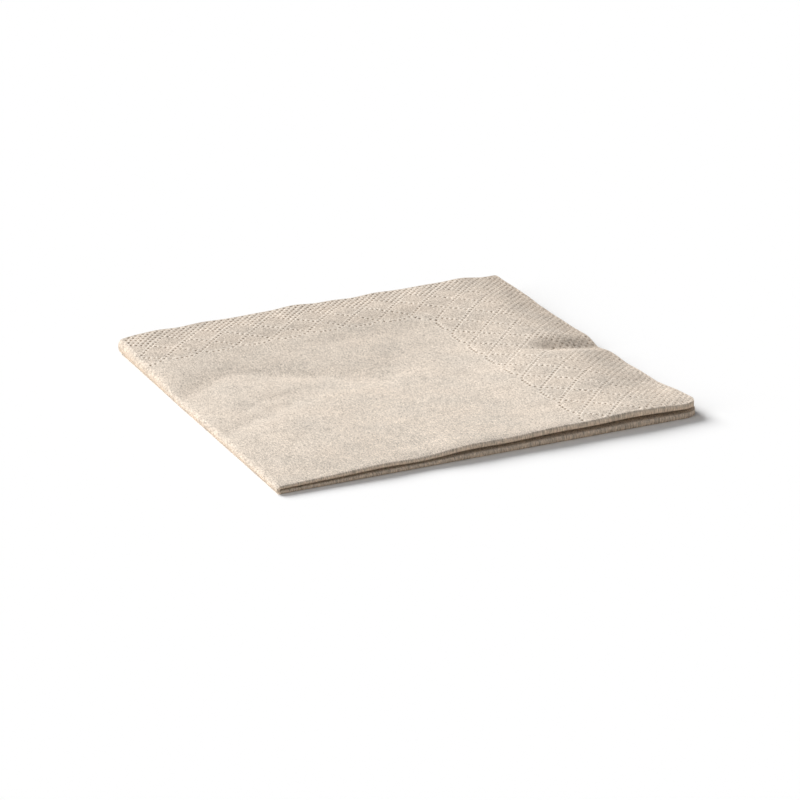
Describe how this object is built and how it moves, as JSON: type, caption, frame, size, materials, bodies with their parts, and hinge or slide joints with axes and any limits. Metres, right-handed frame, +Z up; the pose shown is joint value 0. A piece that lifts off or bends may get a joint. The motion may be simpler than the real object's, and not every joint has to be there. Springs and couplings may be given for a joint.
{
  "type": "paper napkin",
  "caption": "Square tissue napkin folded in quarters, with a dot-embossed diamond border on its open edges.",
  "frame": {"origin": "middle of the underside of the folded napkin", "axes": "+X along the first fold from the second fold to the open edge, +Y from the first fold to the open edges, +Z up"},
  "size_m": [0.12, 0.12, 0.0023],
  "materials": {
    "tissue": "matt unbleached tissue, fine grain"
  },
  "bodies": {
    "root": {"napkin": "tissue"}
  },
  "joints": []
}
